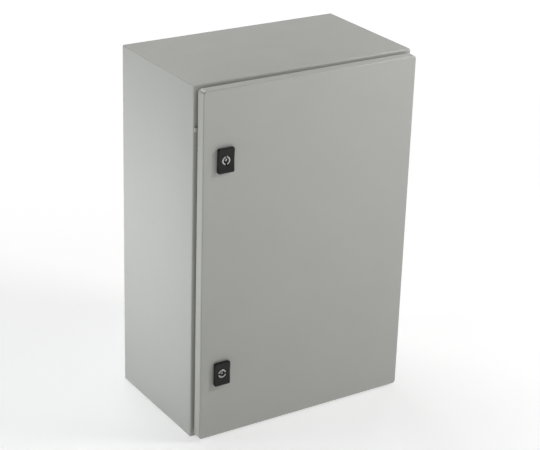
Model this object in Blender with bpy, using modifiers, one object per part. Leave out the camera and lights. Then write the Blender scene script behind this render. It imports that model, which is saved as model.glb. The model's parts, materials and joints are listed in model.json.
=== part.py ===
"""Wall-mounting steel switchboard cabinet, 600 x 400 x 250 mm, with a door and two quarter-turn locks.

Metres, +Z up. X runs across the door, the door faces -Y, and the origin is at the middle of the base. The body
is one folded and welded shell. Its door is a folded tray on two pinned hinges at +X, and the cams of its two
locks, at -X, turn in behind the body's front flange. Inside are a mounting plate on four studs, a gland plate
over an opening in the base, an earthing stud on the body and another on the door.
"""

import math

import bmesh
import bpy
from mathutils import Matrix, Vector

# Body and door.
WIDTH = 0.400
HEIGHT = 0.600
DEPTH = 0.250  # back of the body to the face of the door
SHEET = 0.0015
GAP = 0.0003  # between pieces that touch
DOOR_THICKNESS = 0.018
DOOR_GAP = 0.004  # door to the body's front flange
DOOR_INSET = 0.0045  # door's edge inside the body's outline
DOOR_CORNER = 0.006
DOOR_RETURN = 0.009  # fold at the rear of the door's edges
FLANGE = 0.024  # body's front flange, from its outline to the sealing lip
LIP = 0.012  # sealing lip, forwards from the flange
FOLD_RADIUS = 0.0025

# Locks.
LOCK_PROUD = 0.006
LOCK_X = -0.157
LOCK_FROM_END = 0.118
HOUSING = (0.028, 0.040)
HOUSING_CORNER = 0.0022
HOUSING_EDGE = 0.0008
SCOOP = 0.0012  # hollow across the housing's face
SCOOP_RADIUS = 0.120
SEAL = 0.0006
BARREL_RADIUS = 0.0097
BARREL_PAST_FLANGE = 0.0025
BORE_RADIUS = 0.0078
ROTOR_RADIUS = 0.0075
POCKET_RADIUS = 0.0046
POCKET_DEPTH = 0.008
SLOT_WIDTH = 0.003
KEY_PIN_RADIUS = 0.0016
KEY_PIN_SUNK = 0.0006
RING_NUT_FLATS = 0.0235
RING_NUT = 0.005
SHANK = 0.007
CAM = 0.003
CAM_CLEAR = 0.0007
CAM_HUB = 0.009
CAM_WIDTH = 0.014
CAM_REACH = 0.029
CAM_CORNER = 0.003
CAM_SCREW_RADIUS = 0.0022
CAM_SCREW_LENGTH = 0.010

# Hinges: the axis lies midway through the door, so the door's edge clears the flange as it turns.
HINGE_FROM_EDGE = 0.008
HINGE_FROM_END = 0.110
HINGE_HEIGHT = 0.040
BRACKET_WIDTH = (0.0075, 0.007)  # to either side of the axis
BRACKET_SHEET = 0.0013
EAR = 0.009
EAR_RADIUS = 0.0042
EAR_STEM = (0.0038, 0.001)  # to either side of the axis
KNUCKLE_RADIUS = 0.004
KNUCKLE_CLEAR = 0.0008
LEAF_WIDTH = (0.005, 0.0055)
LEAF_SHEET = 0.0018
LEAF_WEB = 0.005
HINGE_PIN_RADIUS = 0.002
HINGE_PIN_HEAD = 0.0036
HINGE_PIN_TAIL = 0.003
NOTCH_HEIGHT = 0.048
NOTCH_FROM_FACE = 0.003
NOTCH_PAST_AXIS = 0.002

# Mounting plate on its studs.
PLATE = 0.0025
PLATE_WIDTH = 0.350
PLATE_HEIGHT = 0.550
PLATE_CORNER = 0.028
STAND_OFF = 0.014
STUD_SPACING = (0.300, 0.500)
STUD_RADIUS = 0.004
STUD_SHOULDER = 0.007
STUD_PAST_PLATE = 0.011
NUT_FLATS = 0.013
NUT_HEIGHT = 0.0075
NUT_FLANGE = 0.0016
WALL_HOLE_SPACING = (0.360, 0.560)
WALL_HOLE_RADIUS = 0.0045

# Gland plate in the base.
GLAND_Y = 0.010
GLAND_OPENING = (0.290, 0.100)
GLAND_PLATE = (0.330, 0.140)
GLAND_GASKET = 0.002
GLAND_SHEET = 0.002
GLAND_SCREWS = (0.306, 0.116)
GLAND_SCREW_RADIUS = 0.0025
GLAND_CORNER = 0.008

# Earthing studs.
EARTH_RADIUS = 0.003
EARTH_BASE = (0.0065, 0.0015)
EARTH_WASHER = (0.0062, 0.0011)
EARTH_NUT = (0.010, 0.005)
BODY_EARTH_Z = 0.0135
BODY_EARTH_LENGTH = 0.020
DOOR_EARTH_Z = 0.060
DOOR_EARTH_LENGTH = 0.013

# Door fittings.
GASKET_WIDTH = 0.011
GASKET_CORNER = 0.012
RAIL_X = 0.127
RAIL_WIDTH = 0.022
RAIL_DEPTH = 0.014
RAIL_LENGTH = 0.510
RAIL_PITCH = 0.030
RAIL_HOLE_RADIUS = 0.0025
BUFFER_FROM_TOP = 0.0695
BUFFER = (0.0012, 0.0080)  # across the flange, from the body's outline
BUFFER_HEIGHT = 0.007

# Flanged screw head, as (radius, height) from its top down to its seat.
SCREW_HEAD = [(0.0, 0.0048), (0.0034, 0.0048), (0.0042, 0.0040), (0.0042, 0.0014), (0.0066, 0.0010), (0.0066, 0.0)]

# Planes across the depth, from the back forwards.
BACK = (DEPTH + LOCK_PROUD) / 2
BACK_INNER = BACK - SHEET
PLATE_REAR = BACK_INNER - STAND_OFF - 2 * GAP
PLATE_FRONT = PLATE_REAR - PLATE
DOOR_FACE = BACK - DEPTH
DOOR_INNER = DOOR_FACE + SHEET
DOOR_REAR = DOOR_FACE + DOOR_THICKNESS
FLANGE_FACE = DOOR_REAR + DOOR_GAP
LOCK_FACE = DOOR_FACE - LOCK_PROUD
BARREL_END = FLANGE_FACE + BARREL_PAST_FLANGE
CAM_FRONT = BARREL_END + CAM_CLEAR
CAM_REAR = CAM_FRONT + CAM

HALF_WIDTH = WIDTH / 2
MIDDLE = HEIGHT / 2
DOOR_EDGE = HALF_WIDTH - DOOR_INSET
HINGE_X = DOOR_EDGE - HINGE_FROM_EDGE
HINGE_Y = (DOOR_FACE + DOOR_REAR) / 2

HINGES = (("lower", HINGE_FROM_END), ("upper", HEIGHT - HINGE_FROM_END))
LOCKS = (("lower", LOCK_FROM_END, 90), ("upper", HEIGHT - LOCK_FROM_END, 0))  # with the slot's turn in degrees

PARTS = "switchboard_cabinet"
CUTTERS = "cutters"
FAR = 0.01  # how far a cutter runs past what it cuts
SHARP = math.radians(30)

GREY_PAINT = ("grey_paint", (0.58, 0.60, 0.57), 0.45, 0.0)
BLACK_PLASTIC = ("black_plastic", (0.02, 0.02, 0.02), 0.45, 0.0)
DIE_CAST_ZINC = ("die_cast_zinc", (0.60, 0.60, 0.58), 0.35, 1.0)
ZINC_PLATED = ("zinc_plated", (0.62, 0.63, 0.65), 0.30, 1.0)
GALVANISED = ("galvanised", (0.55, 0.57, 0.58), 0.40, 1.0)
SEALING_FOAM = ("sealing_foam", (0.05, 0.05, 0.05), 0.90, 0.0)
SEALING_RUBBER = ("sealing_rubber", (0.03, 0.03, 0.03), 0.70, 0.0)


# Scene, materials and modifiers.


def clear_scene():
    for obj in list(bpy.data.objects):
        bpy.data.objects.remove(obj, do_unlink=True)


def new_collection(name):
    made = bpy.data.collections.new(name)
    bpy.context.scene.collection.children.link(made)


def material(spec):
    """The Principled material for a (name, colour, roughness, metallic) tuple, made once."""
    name, colour, roughness, metallic = spec
    made = bpy.data.materials.get(name)
    if made is None:
        made = bpy.data.materials.new(name)
        made.use_nodes = True
        shader = made.node_tree.nodes["Principled BSDF"]
        shader.inputs["Base Color"].default_value = (*colour, 1.0)
        shader.inputs["Roughness"].default_value = roughness
        shader.inputs["Metallic"].default_value = metallic
    return made


def add_part(name, mesh, spec):
    """A part with its material, smooth where it is round."""
    mesh.shade_smooth()
    mesh.set_sharp_from_angle(angle=SHARP)
    mesh.materials.clear()
    mesh.materials.append(material(spec))
    obj = bpy.data.objects.new(name, mesh)
    bpy.data.collections[PARTS].objects.link(obj)
    return obj


def add_cutter(mesh):
    """A helper that modifiers use and that isn't a part."""
    obj = bpy.data.objects.new("cutter", mesh)
    obj.hide_render = True
    obj.display_type = "WIRE"
    bpy.data.collections[CUTTERS].objects.link(obj)
    return obj


def modified(obj, kind, **settings):
    """Adds a modifier of a kind with its settings."""
    made = obj.modifiers.new(kind.title(), kind)
    for key, value in settings.items():
        setattr(made, key, value)


def bevel(obj, width, segments):
    modified(obj, "BEVEL", width=width, segments=segments, limit_method="ANGLE", angle_limit=math.radians(40))


def thicken(obj):
    modified(obj, "SOLIDIFY", thickness=SHEET, offset=-1.0, use_even_offset=True)


def cut(obj, *meshes):
    modified(obj, "BOOLEAN", operation="DIFFERENCE", object=add_cutter(joined(meshes)))


def join(obj, mesh):
    modified(obj, "BOOLEAN", operation="UNION", object=add_cutter(mesh))


def evaluated_mesh(obj):
    bpy.context.view_layer.update()
    graph = bpy.context.evaluated_depsgraph_get()
    return bpy.data.meshes.new_from_object(obj.evaluated_get(graph))


def bake(obj):
    """Applies the object's modifiers, before it is moved away from its cutters."""
    mesh = evaluated_mesh(obj)
    obj.modifiers.clear()
    obj.data = mesh


def spread(first, name, places):
    """Puts a finished object at the first place, and copies of it, numbered from 2, at the others."""
    bake(first)
    first.location = places[0]
    for number, place in enumerate(places[1:], 2):
        twin = bpy.data.objects.new(f"{name}_{number}", first.data)
        twin.location = place
        bpy.data.collections[PARTS].objects.link(twin)


# Solid shapes.


def mesh_of(bm):
    mesh = bpy.data.meshes.new("shape")
    bm.to_mesh(mesh)
    bm.free()
    return mesh


def joined(meshes):
    """One mesh of several loose shapes."""
    bm = bmesh.new()
    for mesh in meshes:
        bm.from_mesh(mesh)
    return mesh_of(bm)


def box_matrix(low, high):
    low, high = Vector(low), Vector(high)
    return Matrix.Translation((low + high) / 2) @ Matrix.Diagonal((*(high - low), 1.0))


def box(low, high):
    bm = bmesh.new()
    bmesh.ops.create_cube(bm, size=1.0, matrix=box_matrix(low, high))
    return mesh_of(bm)


def prism(radius, length, place, segments):
    """A regular prism, centred on its placement and running along its Z."""
    bm = bmesh.new()
    bmesh.ops.create_cone(
        bm,
        cap_ends=True,
        segments=segments,
        radius1=radius,
        radius2=radius,
        depth=length,
        matrix=place,
    )
    return mesh_of(bm)


def rod_y(x, z, radius, front, rear, segments=24):
    """A round or regular rod between two planes across the depth."""
    place = Matrix.Translation((x, (front + rear) / 2, z)) @ Matrix.Rotation(-math.pi / 2, 4, "X")
    return prism(radius, rear - front, place, segments)


def rod_z(x, y, radius, low, high, segments=24):
    """A round or regular upright rod between two levels."""
    return prism(radius, high - low, Matrix.Translation((x, y, (low + high) / 2)), segments)


def rounded_rectangle(width, height, radius, centre=(0.0, 0.0), steps=3):
    """Corner points of a rectangle with round corners, anticlockwise."""
    points = []
    for corner, (side_x, side_y) in enumerate(((1, 1), (-1, 1), (-1, -1), (1, -1))):
        middle_x = centre[0] + side_x * (width / 2 - radius)
        middle_y = centre[1] + side_y * (height / 2 - radius)
        for step in range(steps + 1):
            angle = math.pi / 2 * (corner + step / steps)
            points.append((middle_x + radius * math.cos(angle), middle_y + radius * math.sin(angle)))
    return points


def circle(centre, radius, segments=16):
    angles = [2 * math.pi * (step + 0.5) / segments for step in range(segments)]
    return [(centre[0] + radius * math.cos(a), centre[1] + radius * math.sin(a)) for a in angles]


def flat_plate(outlines, thickness, place):
    """A plate between closed outlines, the first outside and the rest holes, centred on its placement."""
    curve = bpy.data.curves.new("outline", "CURVE")
    curve.dimensions = "2D"
    curve.fill_mode = "BOTH"
    curve.extrude = thickness / 2
    for outline in outlines:
        spline = curve.splines.new("POLY")
        spline.points.add(len(outline) - 1)
        for point, (x, y) in zip(spline.points, outline):
            point.co = (x, y, 0.0, 1.0)
        spline.use_cyclic_u = True
    helper = bpy.data.objects.new("outline", curve)
    bpy.context.scene.collection.objects.link(helper)
    bm = bmesh.new()
    bm.from_mesh(evaluated_mesh(helper))
    bpy.data.objects.remove(helper)
    bmesh.ops.remove_doubles(bm, verts=bm.verts, dist=1e-6)
    bmesh.ops.recalc_face_normals(bm, faces=bm.faces)
    bmesh.ops.transform(bm, matrix=place, verts=bm.verts)
    return mesh_of(bm)


def plate_y(outlines, x, z, front, rear):
    """A plate with outlines in X and Z, between two planes across the depth."""
    place = Matrix.Translation((x, (front + rear) / 2, z)) @ Matrix.Rotation(math.pi / 2, 4, "X")
    return flat_plate(outlines, rear - front, place)


def plate_z(outlines, y, low, high):
    """A level plate with outlines in X and Y."""
    return flat_plate(outlines, high - low, Matrix.Translation((0, y, (low + high) / 2)))


def turned(profile, place, steps=16):
    """A solid turned about +Z from (radius, height) points that run down its outside, from axis to axis."""
    bm = bmesh.new()
    verts = [bm.verts.new((radius, 0.0, height)) for radius, height in profile]
    for upper, lower in zip(verts, verts[1:]):
        bm.edges.new((upper, lower))
    helper = bpy.data.objects.new("profile", mesh_of(bm))
    bpy.context.scene.collection.objects.link(helper)
    modified(helper, "SCREW", steps=steps, render_steps=steps, use_merge_vertices=True, merge_threshold=1e-5)
    mesh = evaluated_mesh(helper)
    bpy.data.objects.remove(helper)
    mesh.transform(place)
    return mesh


def facing(forwards, x, y, z):
    """Placement that lays +Z along -Y where forwards is true, and along +Y where it isn't."""
    return Matrix.Translation((x, y, z)) @ Matrix.Rotation(math.pi / 2 if forwards else -math.pi / 2, 4, "X")


# Folded sheet metal.


def open_box(low, high, *open_sides):
    """The surface of a box without the sides that face along the given axes."""
    bm = bmesh.new()
    bmesh.ops.create_cube(bm, size=1.0, matrix=box_matrix(low, high))
    bm.normal_update()
    gone = [f for f in bm.faces if any(f.normal.dot(Vector(side)) > 0.9 for side in open_sides)]
    bmesh.ops.delete(bm, geom=gone, context="FACES_ONLY")
    return bm


def fold(bm, plane, inwards, forwards):
    """Folds a new strip from the open edge that lies at a plane across the depth."""
    rim = [e for e in bm.edges if e.is_boundary and all(abs(v.co.y - plane) < 1e-6 for v in e.verts)]
    made = bmesh.ops.extrude_edge_only(bm, edges=rim)["geom"]
    for vert in (v for v in made if isinstance(v, bmesh.types.BMVert)):
        vert.co.x -= math.copysign(inwards, vert.co.x)
        vert.co.z -= math.copysign(inwards, vert.co.z - MIDDLE)
        vert.co.y -= forwards


def corners_of(spacing):
    """(x, z) of the four places at a spacing, centred on the back."""
    across, up = spacing
    return [(side * across / 2, MIDDLE + level * up / 2) for side in (-1, 1) for level in (-1, 1)]


# The body and what stays with it.


def cabinet_body():
    """Back, top, base and sides in one shell, with the front flange and its sealing lip."""
    bm = open_box((-HALF_WIDTH, FLANGE_FACE, 0.0), (HALF_WIDTH, BACK, HEIGHT), (0, -1, 0))
    fold(bm, FLANGE_FACE, FLANGE, 0.0)
    fold(bm, FLANGE_FACE, 0.0, LIP)
    bmesh.ops.recalc_face_normals(bm, faces=bm.faces)
    body = add_part("cabinet_body", mesh_of(bm), GREY_PAINT)
    bevel(body, FOLD_RADIUS, 2)
    thicken(body)
    gland_opening = rounded_rectangle(*GLAND_OPENING, GLAND_CORNER)
    cut(body, plate_z([gland_opening], GLAND_Y, -FAR, FAR))
    screw_holes = [rod_z(x, y, GLAND_SCREW_RADIUS + GAP, -FAR, FAR, 12) for x, y in gland_screw_places()]
    fixings = corners_of(WALL_HOLE_SPACING)
    wall_holes = [rod_y(x, z, WALL_HOLE_RADIUS, BACK - FAR, BACK + FAR) for x, z in fixings]
    cut(body, *screw_holes, *wall_holes)


def plate_studs():
    """Shouldered studs welded to the back, for the mounting plate."""
    length = BACK_INNER - GAP - PLATE_FRONT + STUD_PAST_PLATE
    chamfer = STUD_RADIUS / 5
    profile = [(0.0, length), (STUD_RADIUS - chamfer, length), (STUD_RADIUS, length - chamfer)]
    profile += [(STUD_RADIUS, STAND_OFF), (STUD_SHOULDER, STAND_OFF), (STUD_SHOULDER, 0.0), (0.0, 0.0)]
    stud = add_part("plate_stud_1", turned(profile, facing(True, 0, BACK_INNER - GAP, 0)), ZINC_PLATED)
    spread(stud, "plate_stud", [(x, 0, z) for x, z in corners_of(STUD_SPACING)])


def plate_nuts():
    """Hexagon nuts, each with a round flange against the mounting plate."""
    rear = PLATE_FRONT - GAP
    front = rear - NUT_HEIGHT
    radius = NUT_FLATS / math.sqrt(3)
    nut = add_part("plate_nut_1", rod_y(0, 0, radius, front, rear, 6), ZINC_PLATED)
    join(nut, rod_y(0, 0, radius * 1.15, rear - NUT_FLANGE, rear))
    cut(nut, rod_y(0, 0, STUD_RADIUS + GAP, front - FAR, rear + FAR, 16))
    spread(nut, "plate_nut", [(x, 0, z) for x, z in corners_of(STUD_SPACING)])


def mounting_plate():
    """Galvanised plate, its corners cut off so that the wall fixing holes stay within reach."""
    x, z = PLATE_WIDTH / 2, PLATE_HEIGHT / 2
    cut_x, cut_z = x - PLATE_CORNER, z - PLATE_CORNER
    outline = [(x, cut_z), (cut_x, z), (-cut_x, z), (-x, cut_z)]
    outline += [(-x, -cut_z), (-cut_x, -z), (cut_x, -z), (x, -cut_z)]
    holes = [circle((x, z - MIDDLE), STUD_RADIUS + 2 * GAP) for x, z in corners_of(STUD_SPACING)]
    add_part("mounting_plate", plate_y([outline, *holes], 0, MIDDLE, PLATE_FRONT, PLATE_REAR), GALVANISED)


def gland_screw_places():
    across, deep = GLAND_SCREWS
    return [(side * across / 2, GLAND_Y + row * deep / 2) for side in (-1, 0, 1) for row in (-1, 1)]


def gland_plate():
    """Blank plate and its gasket over the opening in the base, held from inside by screws."""
    outline = rounded_rectangle(*GLAND_PLATE, GLAND_CORNER)
    opening = rounded_rectangle(GLAND_OPENING[0] + 4 * GAP, GLAND_OPENING[1] + 4 * GAP, GLAND_CORNER)
    holes = [circle((x, y - GLAND_Y), GLAND_SCREW_RADIUS + 2 * GAP, 12) for x, y in gland_screw_places()]
    low = SHEET + GAP
    high = low + GLAND_GASKET
    add_part("gland_gasket", plate_z([outline, opening, *holes], GLAND_Y, low, high), SEALING_RUBBER)
    low = high + GAP
    high = low + GLAND_SHEET
    add_part("gland_plate", plate_z([outline, *holes], GLAND_Y, low, high), GREY_PAINT)


def gland_screws():
    """Flanged screws, each ending just above the underside of the base."""
    seat = SHEET + GLAND_GASKET + GLAND_SHEET + 3 * GAP
    profile = SCREW_HEAD + [(GLAND_SCREW_RADIUS, 0.0), (GLAND_SCREW_RADIUS, GAP - seat), (0.0, GAP - seat)]
    screw = add_part("gland_screw_1", turned(profile, Matrix.Translation((0, 0, seat)), 12), ZINC_PLATED)
    spread(screw, "gland_screw", [(x, y, 0) for x, y in gland_screw_places()])


def earth_stud(prefix, place, length):
    """Earthing stud that stands on the placement's plane, with its washer and nut."""
    base_radius, base = EARTH_BASE
    washer_radius, washer = EARTH_WASHER
    nut_flats, nut = EARTH_NUT
    chamfer = EARTH_RADIUS / 5
    profile = [(0.0, length), (EARTH_RADIUS - chamfer, length), (EARTH_RADIUS, length - chamfer)]
    profile += [(EARTH_RADIUS, base), (base_radius, base), (base_radius, 0.0), (0.0, 0.0)]
    add_part(f"{prefix}_stud", turned(profile, place), ZINC_PLATED)
    bore = prism(EARTH_RADIUS + GAP, 2 * length, place, 16)
    low = base + GAP
    ring = prism(washer_radius, washer, place @ Matrix.Translation((0, 0, low + washer / 2)), 20)
    cut(add_part(f"{prefix}_washer", ring, ZINC_PLATED), bore)
    low += washer + GAP
    hexagon = prism(nut_flats / math.sqrt(3), nut, place @ Matrix.Translation((0, 0, low + nut / 2)), 6)
    cut(add_part(f"{prefix}_nut", hexagon, ZINC_PLATED), bore)


def door_buffer():
    """Small pad on the flange, on the lock side near the top, that the door's edge closes against."""
    z = HEIGHT - BUFFER_FROM_TOP
    low = (-HALF_WIDTH + BUFFER[0], DOOR_REAR + GAP, z - BUFFER_HEIGHT / 2)
    high = (-HALF_WIDTH + BUFFER[1], FLANGE_FACE - GAP, z + BUFFER_HEIGHT / 2)
    bevel(add_part("door_buffer", box(low, high), GREY_PAINT), HOUSING_EDGE, 2)


# Hinges.


def hinge_bracket(side, z):
    """Bracket on the body's flange, with an ear above and an ear below the door's knuckle."""
    rear = FLANGE_FACE - GAP
    front = rear - BRACKET_SHEET
    half = HINGE_HEIGHT / 2
    low = (HINGE_X - BRACKET_WIDTH[0], front, z - half)
    high = (HINGE_X + BRACKET_WIDTH[1], rear, z + half)
    bracket = add_part(f"{side}_hinge_bracket", box(low, high), ZINC_PLATED)
    for bottom in (z - half, z + half - EAR):
        top = bottom + EAR
        stem_low = (HINGE_X - EAR_STEM[0], HINGE_Y, bottom)
        join(bracket, box(stem_low, (HINGE_X + EAR_STEM[1], front + BRACKET_SHEET / 2, top)))
        join(bracket, rod_z(HINGE_X, HINGE_Y, EAR_RADIUS, bottom, top))
    cut(bracket, rod_z(HINGE_X, HINGE_Y, HINGE_PIN_RADIUS + GAP, z - half - FAR, z + half + FAR))


def hinge_leaf(side, z):
    """Knuckle and foot that are welded inside the door, between the bracket's ears."""
    half = HINGE_HEIGHT / 2 - EAR - KNUCKLE_CLEAR
    front = DOOR_INNER + GAP
    rear = front + LEAF_SHEET
    foot = box((HINGE_X - LEAF_WIDTH[0], front, z - half), (HINGE_X + LEAF_WIDTH[1], rear, z + half))
    leaf = add_part(f"{side}_hinge_leaf", foot, ZINC_PLATED)
    web_low = (HINGE_X - LEAF_WEB / 2, front + LEAF_SHEET / 2, z - half)
    join(leaf, box(web_low, (HINGE_X + LEAF_WEB / 2, HINGE_Y, z + half)))
    join(leaf, rod_z(HINGE_X, HINGE_Y, KNUCKLE_RADIUS, z - half, z + half))
    cut(leaf, rod_z(HINGE_X, HINGE_Y, HINGE_PIN_RADIUS + GAP, z - half - FAR, z + half + FAR))


def hinge_pin(side, z):
    """Headed pin down through the ears and the knuckle."""
    head = HINGE_HEIGHT / 2 + GAP
    tail = -HINGE_HEIGHT / 2 - HINGE_PIN_TAIL
    chamfer = HINGE_PIN_RADIUS * 0.4
    top = head + HINGE_PIN_RADIUS
    profile = [(0.0, top), (HINGE_PIN_HEAD - chamfer, top), (HINGE_PIN_HEAD, top - chamfer)]
    profile += [(HINGE_PIN_HEAD, head), (HINGE_PIN_RADIUS, head), (HINGE_PIN_RADIUS, tail + chamfer)]
    profile += [(HINGE_PIN_RADIUS - chamfer, tail), (0.0, tail)]
    place = Matrix.Translation((HINGE_X, HINGE_Y, z))
    add_part(f"{side}_hinge_pin", turned(profile, place, 24), ZINC_PLATED)


# The door and what is fixed to it.


def door_panel():
    """Tray with round corners, a return behind each edge, holes for the locks and a notch for each hinge."""
    low = (-DOOR_EDGE, DOOR_FACE, DOOR_INSET)
    bm = open_box(low, (DOOR_EDGE, DOOR_REAR, HEIGHT - DOOR_INSET), (0, 1, 0))
    weight = bm.edges.layers.float.new("bevel_weight_edge")
    for edge in bm.edges:
        edge[weight] = float(abs(edge.verts[0].co.y - edge.verts[1].co.y) > DOOR_THICKNESS / 2)
    fold(bm, DOOR_REAR, DOOR_RETURN, 0.0)
    bmesh.ops.recalc_face_normals(bm, faces=bm.faces)
    door = add_part("door_panel", mesh_of(bm), GREY_PAINT)
    modified(door, "BEVEL", width=DOOR_CORNER, segments=4, limit_method="WEIGHT")
    bevel(door, FOLD_RADIUS, 3)
    thicken(door)
    radius = BARREL_RADIUS + 2 * GAP
    cut(door, *[rod_y(LOCK_X, z, radius, DOOR_FACE - FAR, DOOR_FACE + FAR, 32) for _, z, _ in LOCKS])
    x, y, half = HINGE_X - NOTCH_PAST_AXIS, DOOR_FACE + NOTCH_FROM_FACE, NOTCH_HEIGHT / 2
    cut(door, *[box((x, y, z - half), (HALF_WIDTH, DOOR_REAR + FAR, z + half)) for _, z in HINGES])


def door_gasket():
    """Foamed seal inside the door, opposite the body's lip."""
    middle = FLANGE + SHEET / 2
    edges = (middle - GASKET_WIDTH / 2, middle + GASKET_WIDTH / 2)
    rings = [rounded_rectangle(WIDTH - 2 * edge, HEIGHT - 2 * edge, GASKET_CORNER) for edge in edges]
    seal = plate_y(rings, 0, MIDDLE, DOOR_INNER + GAP, FLANGE_FACE - LIP - GAP)
    bevel(add_part("door_gasket", seal, SEALING_FOAM), GASKET_WIDTH / 4, 2)


def door_rail(name, x):
    """Perforated channel up the inside of the door, for fixing accessories."""
    front = DOOR_INNER + GAP
    rear = front + RAIL_DEPTH
    low = (x - RAIL_WIDTH / 2, front, MIDDLE - RAIL_LENGTH / 2)
    high = (x + RAIL_WIDTH / 2, rear, MIDDLE + RAIL_LENGTH / 2)
    rail = add_part(name, mesh_of(open_box(low, high, (0, -1, 0), (0, 0, 1), (0, 0, -1))), GREY_PAINT)
    bevel(rail, FOLD_RADIUS, 1)
    thicken(rail)
    count = int(RAIL_LENGTH / RAIL_PITCH)
    first = MIDDLE - RAIL_PITCH * (count - 1) / 2
    levels = [first + RAIL_PITCH * step for step in range(count)]
    cut(rail, *[rod_y(x, z, RAIL_HOLE_RADIUS, rear - 2 * SHEET, rear + FAR, 8) for z in levels])


# Locks.


def lock_housing(side, z):
    """Plastic housing with a scooped face, and the barrel behind it that goes through the door."""
    rear = DOOR_FACE - SEAL - 2 * GAP
    outline = rounded_rectangle(*HOUSING, HOUSING_CORNER)
    housing = add_part(f"{side}_lock_housing", plate_y([outline], LOCK_X, z, LOCK_FACE, rear), BLACK_PLASTIC)
    bevel(housing, HOUSING_EDGE, 2)
    middle = Matrix.Translation((LOCK_X, LOCK_FACE + SCOOP - SCOOP_RADIUS, z))
    across = middle @ Matrix.Rotation(math.pi / 2, 4, "Y")
    cut(housing, prism(SCOOP_RADIUS, 2 * HOUSING[0], across, 96))
    join(housing, rod_y(LOCK_X, z, BARREL_RADIUS, rear - SEAL, BARREL_END, 32))
    cut(housing, rod_y(LOCK_X, z, BORE_RADIUS, LOCK_FACE - FAR, BARREL_END + FAR, 32))


def lock_seal(side, z):
    rear = DOOR_FACE - GAP
    outline = rounded_rectangle(HOUSING[0] - SEAL, HOUSING[1] - SEAL, HOUSING_CORNER)
    hole = circle((0, 0), BARREL_RADIUS + GAP, 32)
    add_part(f"{side}_lock_seal", plate_y([outline, hole], LOCK_X, z, rear - SEAL, rear), SEALING_RUBBER)


def lock_nut(side, z):
    """Nut that clamps the housing to the door, one of its flats towards the gasket."""
    front = DOOR_INNER + GAP
    rear = front + RING_NUT
    nut = rod_y(LOCK_X, z, RING_NUT_FLATS / math.sqrt(3), front, rear, 6)
    cut(
        add_part(f"{side}_lock_nut", nut, DIE_CAST_ZINC),
        rod_y(LOCK_X, z, BARREL_RADIUS + GAP, front - FAR, rear + FAR, 32),
    )


def lock_rotor(side, z, slot_turn):
    """Insert for a double-bit key, a slotted ring round a pin, and the square shank that drives the cam."""
    face = LOCK_FACE + SCOOP + GAP
    floor = face + POCKET_DEPTH
    tip = CAM_REAR - GAP
    rotor = add_part(f"{side}_lock_rotor", rod_y(0, 0, ROTOR_RADIUS, face, BARREL_END, 32), DIE_CAST_ZINC)
    cut(rotor, rod_y(0, 0, POCKET_RADIUS, face - FAR, floor, 32))
    cut(rotor, box((-SLOT_WIDTH / 2, face - FAR, -FAR), (SLOT_WIDTH / 2, floor, FAR)))
    join(rotor, rod_y(0, 0, KEY_PIN_RADIUS, face + KEY_PIN_SUNK, floor + KEY_PIN_SUNK, 16))
    join(rotor, box((-SHANK / 2, BARREL_END - SHEET, -SHANK / 2), (SHANK / 2, tip, SHANK / 2)))
    thread = CAM_SCREW_LENGTH + 2 * GAP
    cut(rotor, rod_y(0, 0, CAM_SCREW_RADIUS + GAP, tip - thread, tip + FAR, 16))
    bake(rotor)
    rotor.matrix_world = Matrix.Translation((LOCK_X, 0, z)) @ Matrix.Rotation(math.radians(slot_turn), 4, "Y")


def lock_cam(side, z):
    """Flat tongue on the rotor's shank, which hangs down when the lock is open."""
    angles = [math.radians(turn) for turn in range(-30, 211, 30)]
    outline = [(CAM_HUB * math.cos(a), CAM_HUB * math.sin(a)) for a in angles]
    x, inner_x = CAM_WIDTH / 2, CAM_WIDTH / 2 - CAM_CORNER
    shoulder, tip = -CAM_HUB - CAM_CORNER, -CAM_REACH
    outline += [(-x, shoulder), (-x, tip + CAM_CORNER), (-inner_x, tip), (inner_x, tip), (x, tip + CAM_CORNER)]
    outline += [(x, shoulder)]
    half = SHANK / 2 + GAP
    hole = [(half, half), (-half, half), (-half, -half), (half, -half)]
    add_part(f"{side}_lock_cam", plate_y([outline, hole], LOCK_X, z, CAM_FRONT, CAM_REAR), ZINC_PLATED)


def cam_screw(side, z):
    """Flanged screw that holds the cam on the rotor."""
    shank = [(CAM_SCREW_RADIUS, 0.0), (CAM_SCREW_RADIUS, -CAM_SCREW_LENGTH), (0.0, -CAM_SCREW_LENGTH)]
    place = facing(False, LOCK_X, CAM_REAR + GAP, z)
    add_part(f"{side}_cam_screw", turned(SCREW_HEAD + shank, place), ZINC_PLATED)


def main():
    clear_scene()
    new_collection(PARTS)
    new_collection(CUTTERS)

    cabinet_body()
    plate_studs()
    mounting_plate()
    plate_nuts()
    gland_plate()
    gland_screws()
    earth_stud("body_earth", facing(True, 0, BACK_INNER - GAP, BODY_EARTH_Z), BODY_EARTH_LENGTH)
    door_buffer()

    door_panel()
    door_gasket()
    door_rail("lock_side_rail", -RAIL_X)
    door_rail("hinge_side_rail", RAIL_X)
    earth_stud("door_earth", facing(False, 0, DOOR_INNER + GAP, DOOR_EARTH_Z), DOOR_EARTH_LENGTH)

    for side, z in HINGES:
        hinge_bracket(side, z)
        hinge_leaf(side, z)
        hinge_pin(side, z)
    for side, z, slot_turn in LOCKS:
        lock_housing(side, z)
        lock_seal(side, z)
        lock_nut(side, z)
        lock_rotor(side, z, slot_turn)
        lock_cam(side, z)
        cam_screw(side, z)


main()
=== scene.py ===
"""Looks for the wall-mounting switchboard cabinet: refined sheet metal, locks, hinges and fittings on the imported
frame, with procedural finishes, a pale floor, soft studio light and a camera at the photograph's angle.
"""

import json
import math

import bmesh
import bpy
from mathutils import Matrix, Vector

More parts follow.
